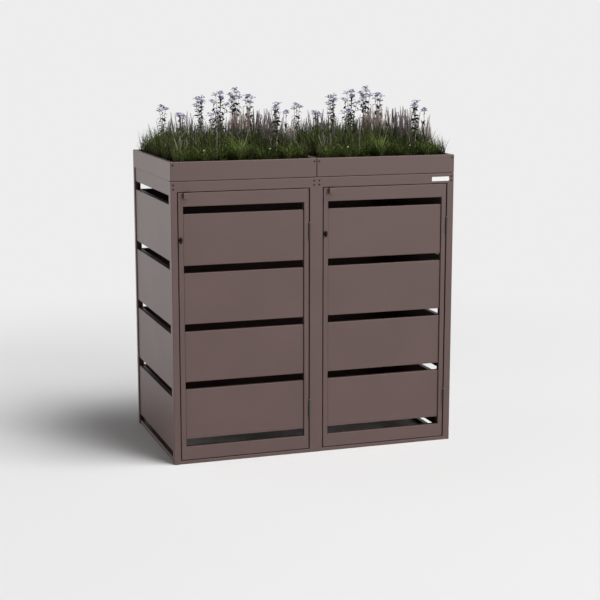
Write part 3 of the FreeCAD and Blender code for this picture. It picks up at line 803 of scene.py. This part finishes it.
def compost_bed(name, low, high):
    """A block of compost with a lumpy top and loose crumbs on it."""
    rng = random.Random(3)
    columns = 72
    rows = 82
    crumbs = 900
    surface_drop = 0.004
    crumb_drop = 0.003
    crumb_margin = 0.004
    points = []
    faces = []
    for row in range(rows + 1):
        for column in range(columns + 1):
            x = low.x + (high.x - low.x) * column / columns
            y = low.y + (high.y - low.y) * row / rows
            points.append((x, y, high.z - surface_drop + lump(x, y)))
    stride = columns + 1
    for row in range(rows):
        for column in range(columns):
            corner = row * stride + column
            faces.append((corner, corner + 1, corner + stride + 1, corner + stride))
    border = list(range(columns))
    border += [row * stride + columns for row in range(rows)]
    border += [rows * stride + column for column in range(columns, 0, -1)]
    border += [row * stride for row in range(rows, 0, -1)]
    feet = []
    for index in border:
        x, y, _ = points[index]
        feet.append(len(points))
        points.append((x, y, low.z))
    for i in range(len(border)):
        after = (i + 1) % len(border)
        faces.append((border[i], feet[i], feet[after], border[after]))
    faces.append(tuple(reversed(feet)))
    for _ in range(crumbs):
        x = rng.uniform(low.x + crumb_margin, high.x - crumb_margin)
        y = rng.uniform(low.y + crumb_margin, high.y - crumb_margin)
        centre = Vector((x, y, high.z - crumb_drop + lump(x, y)))
        crumb(points, faces, rng, centre, rng.uniform(0.002, 0.006))
    return make_piece(name, points, faces, [soil_finish], smooth=False)


def crumb(points, faces, rng, centre, size):
    """A small uneven eight-sided lump: four corners round it, then its top and its foot."""
    unevenness = 0.15
    first = len(points)
    for axis in ((1, 0, 0), (0, 1, 0), (-1, 0, 0), (0, -1, 0), (0, 0, 1), (0, 0, -1)):
        reach = size * rng.uniform(0.5, 1.0)
        jitter = Vector((rng.gauss(0, 1), rng.gauss(0, 1), rng.gauss(0, 1))) * size * unevenness
        points.append(tuple(centre + Vector(axis) * reach + jitter))
    top = first + 4
    foot = first + 5
    for k in range(4):
        after = (k + 1) % 4
        faces.append((first + k, first + after, top))
        faces.append((first + after, first + k, foot))


def ride_store(piece, slot, *nodes):
    """Says that a piece rides on the store, and hides the nodes it replaces, if any. Its slot is not used.
    """
    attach(piece, "store")
    if nodes:
        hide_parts(*nodes)


def plant(make, stem, slot, node):
    """Makes a piece of planting for the left planter and sets the same one in the right planter."""
    first = make(f"{stem}_left")
    second = bpy.data.objects.new(f"{stem}_right", first.data)
    bpy.context.scene.collection.objects.link(second)
    for piece, side, left in ((first, "left", -BED_WIDTH), (second, "right", 0.0)):
        piece.location = (left, FRONT, SOIL_TOP)
        ride_store(piece, slot, *([f"{node}_{side}"] if node else []))


for side in SIDES:
    low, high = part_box(f"soil_{side}")
    ride_store(compost_bed(f"compost_{side}", low, high), "soil", f"soil_{side}")
plant(fescue_front, "fescue_front", "grass", "grass")
plant(fescue_back, "fescue_back", "grass", None)
plant(sedge_tussocks, "sedge_tussocks", "grass", None)
plant(spikes, "spikes", "grass", None)
plant(tall_flowers, "tall_flowers", "flowers", "flowers")
plant(small_flowers, "small_flowers", "flowers", None)


# Rivets and plate

RIVET_RADIUS = 0.0047
RIVET_RISE = 0.0018
RIVET_FOOT = 0.0005
RIVET_BORE = 0.0012
RIVET_BORE_FLOOR = 0.0006
RIVET_INSET = 0.0137
RIVET_ROWS = (HEAD_LOW + 0.0143, HEAD_LOW + 0.0346)
PLANTER_RIVET_INSET = 0.012
PLANTER_RIVET_DROP = 0.015

# Left, right, low and high edge of the bare plate
PLATE = (0.610, 0.703, 1.3447, 1.3663)
PLATE_THICKNESS = 0.0009
PLATE_RADIUS = 0.004
PLATE_CHAMFER = 0.0003


def rivet(name, x, z):
    """A domed blind rivet with the bore of its mandrel, set on the front."""
    sides = 24
    dome_steps = 5
    bore_taper = 0.9
    sharp_from = 50
    profile = [(RIVET_RADIUS, 0.0), (RIVET_RADIUS, RIVET_FOOT)]
    for i in range(1, dome_steps):
        angle = math.pi / 2 * i / dome_steps
        profile.append((RIVET_BORE + (RIVET_RADIUS - RIVET_BORE) * math.cos(angle),
                        RIVET_FOOT + (RIVET_RISE - RIVET_FOOT) * math.sin(angle)))
    profile.append((RIVET_BORE, RIVET_RISE))
    profile.append((RIVET_BORE * bore_taper, RIVET_BORE_FLOOR))
    points = []
    for radius, rise in profile:
        for k in range(sides):
            angle = math.tau * k / sides
            points.append((x + radius * math.cos(angle), FRONT - rise, z + radius * math.sin(angle)))
    piece = make_piece(name, points, closed_stack(len(profile), sides), [rivet_black])
    piece.data.set_sharp_from_angle(angle=math.radians(sharp_from))
    ride_store(piece, None)


rivet_columns = {
    "outer_left": -HALF_WIDTH + RIVET_INSET,
    "inner_left": -RIVET_INSET,
    "inner_right": RIVET_INSET,
    "outer_right": HALF_WIDTH - RIVET_INSET,
}
for column, x in rivet_columns.items():
    for row, z in zip(("low", "high"), RIVET_ROWS):
        rivet(f"head_rivet_{row}_{column}", x, z)
    # The rivets of a planter are a little closer to its ends than those of the head below
    shift = math.copysign(RIVET_INSET - PLANTER_RIVET_INSET, x)
    outward = shift if column.startswith("outer") else -shift
    rivet(f"planter_rivet_{column}", x + outward, RIM - PLANTER_RIVET_DROP)


def plate_outline(inset):
    """The points of the plate's edge, from the top right corner round to the low right one."""
    corner_step = 15
    left, right, low, high = PLATE
    reach = PLATE_RADIUS - inset
    ring = []
    for cx, cz, start in ((right - PLATE_RADIUS, high - PLATE_RADIUS, 0),
                          (left + PLATE_RADIUS, high - PLATE_RADIUS, 90),
                          (left + PLATE_RADIUS, low + PLATE_RADIUS, 180),
                          (right - PLATE_RADIUS, low + PLATE_RADIUS, 270)):
        for turn in range(start, start + 90 + corner_step, corner_step):
            angle = math.radians(turn)
            ring.append((cx + reach * math.cos(angle), cz + reach * math.sin(angle)))
    return ring


def bare_plate():
    """A bare white plate with rounded corners and a small chamfer, fixed flat on the head."""
    levels = ((0.0, 0.0), (0.0, PLATE_THICKNESS - PLATE_CHAMFER), (PLATE_CHAMFER, PLATE_THICKNESS))
    points = [(x, FRONT - rise, z) for inset, rise in levels for x, z in plate_outline(inset)]
    faces = closed_stack(len(levels), len(points) // len(levels))
    piece = make_piece("bare_plate", points, faces, [plate_white], smooth=False)
    ride_store(piece, None)


bare_plate()


# Studio: floor, lights and camera

BACKGROUND = 0.847
FLOOR_COLOUR = 0.85
FLOOR_NEAR = 1.8
FLOOR_FAR = 4.6
FLOOR_RADIUS = 60.0
FLOOR_SIDES = 96
WORLD_LEVEL = 0.131
LAMP_TARGET = Vector((0, 0, 0.7))

# The camera of the photograph, fitted to the edges of the store
PHOTO_SIZE = 600
FOCAL_PIXELS = 1415.5
SENSOR = 36.0
CLIP_END = 200.0
CAMERA_PLACE = Vector((-2.2741, -6.8940, 2.0438))
CAMERA_YAW = math.radians(18.628)
CAMERA_PITCH = math.radians(10.441)


def studio_floor():
    """A wide pale floor that shows the object's shadow and melts into the background further out."""
    points = [(0.0, 0.0, 0.0)]
    for k in range(FLOOR_SIDES):
        points.append(tuple(towards(math.tau * k / FLOOR_SIDES, FLOOR_RADIUS)))
    faces = [(0, 1 + k, 1 + (k + 1) % FLOOR_SIDES) for k in range(FLOOR_SIDES)]
    shader = Shader("studio_floor")
    shader.surface.inputs["Base Color"].default_value = (*grey(FLOOR_COLOUR), 1)
    shader.surface.inputs["Roughness"].default_value = 1.0
    shader.surface.inputs["Specular IOR Level"].default_value = 0.0
    reach = shader.add("VectorMath", operation="LENGTH")
    shader.join(shader.place(), "Object", reach, 0)
    fade = shader.span(reach, "Value", 0.0, 1.0, start=FLOOR_NEAR, end=FLOOR_FAR)
    fade.interpolation_type = "SMOOTHSTEP"
    glow = shader.add("Emission")
    glow.inputs["Color"].default_value = (*grey(BACKGROUND), 1)
    blend = shader.add("MixShader")
    shader.join(fade, "Result", blend, 0)
    shader.join(shader.surface, "BSDF", blend, 1)
    shader.join(glow, "Emission", blend, 2)
    shader.join(blend, 0, shader.tree.nodes["Material Output"], "Surface")
    floor = make_piece("studio_floor", points, faces, [shader.material], smooth=False)


def studio_world():
    """A plain dome of light that the camera, reflections and glass see as the pale background."""
    world = bpy.data.worlds.new("studio")
    world.use_nodes = True
    tree = world.node_tree
    dome = tree.nodes["Background"]
    dome.inputs["Color"].default_value = (1, 1, 1, 1)
    dome.inputs["Strength"].default_value = WORLD_LEVEL
    seen = tree.nodes.new("ShaderNodeBackground")
    seen.inputs["Color"].default_value = (*grey(BACKGROUND), 1)
    path = tree.nodes.new("ShaderNodeLightPath")
    direct = tree.nodes.new("ShaderNodeMath")
    direct.operation = "MAXIMUM"
    through = tree.nodes.new("ShaderNodeMath")
    through.operation = "MAXIMUM"
    both = tree.nodes.new("ShaderNodeMixShader")
    tree.links.new(path.outputs["Is Camera Ray"], direct.inputs[0])
    tree.links.new(path.outputs["Is Glossy Ray"], direct.inputs[1])
    tree.links.new(direct.outputs[0], through.inputs[0])
    tree.links.new(path.outputs["Is Transmission Ray"], through.inputs[1])
    tree.links.new(through.outputs[0], both.inputs[0])
    tree.links.new(dome.outputs[0], both.inputs[1])
    tree.links.new(seen.outputs[0], both.inputs[2])
    tree.links.new(both.outputs[0], tree.nodes["World Output"].inputs["Surface"])
    bpy.context.scene.world = world


def soft_lamp(name, azimuth, elevation, distance, width, height, radiance):
    """A flat soft box that faces the store from an azimuth counted from +X towards +Y."""
    lamp = bpy.data.lights.new(name, "AREA")
    lamp.shape = "RECTANGLE"
    lamp.size = width
    lamp.size_y = height
    lamp.energy = radiance * math.pi * width * height
    rise = math.radians(elevation)
    way = towards(math.radians(azimuth), math.cos(rise), math.sin(rise))
    piece = bpy.data.objects.new(name, lamp)
    piece.location = LAMP_TARGET + way * distance
    piece.rotation_euler = (-way).to_track_quat("-Z", "Y").to_euler()
    piece.visible_camera = False
    bpy.context.scene.collection.objects.link(piece)


def photo_camera():
    data = bpy.data.cameras.new("photo_camera")
    data.sensor_width = SENSOR
    data.sensor_fit = "HORIZONTAL"
    data.lens = FOCAL_PIXELS / PHOTO_SIZE * SENSOR
    data.clip_end = CLIP_END
    camera = bpy.data.objects.new("photo_camera", data)
    camera.location = CAMERA_PLACE
    camera.rotation_euler = Euler((math.pi / 2 - CAMERA_PITCH, 0, -CAMERA_YAW))
    bpy.context.scene.collection.objects.link(camera)
    bpy.context.scene.camera = camera


soft_lamp("lamp_key", azimuth=320, elevation=61, distance=36.0, width=19.2, height=19.2, radiance=9.77)
soft_lamp("lamp_front", azimuth=298, elevation=17, distance=36.0, width=19.8, height=17.0, radiance=5.5)
soft_lamp("lamp_left", azimuth=150, elevation=1, distance=8.0, width=6.5, height=2.2, radiance=4.28)
studio_world()
studio_floor()
photo_camera()
bpy.context.scene.view_settings.view_transform = "Standard"
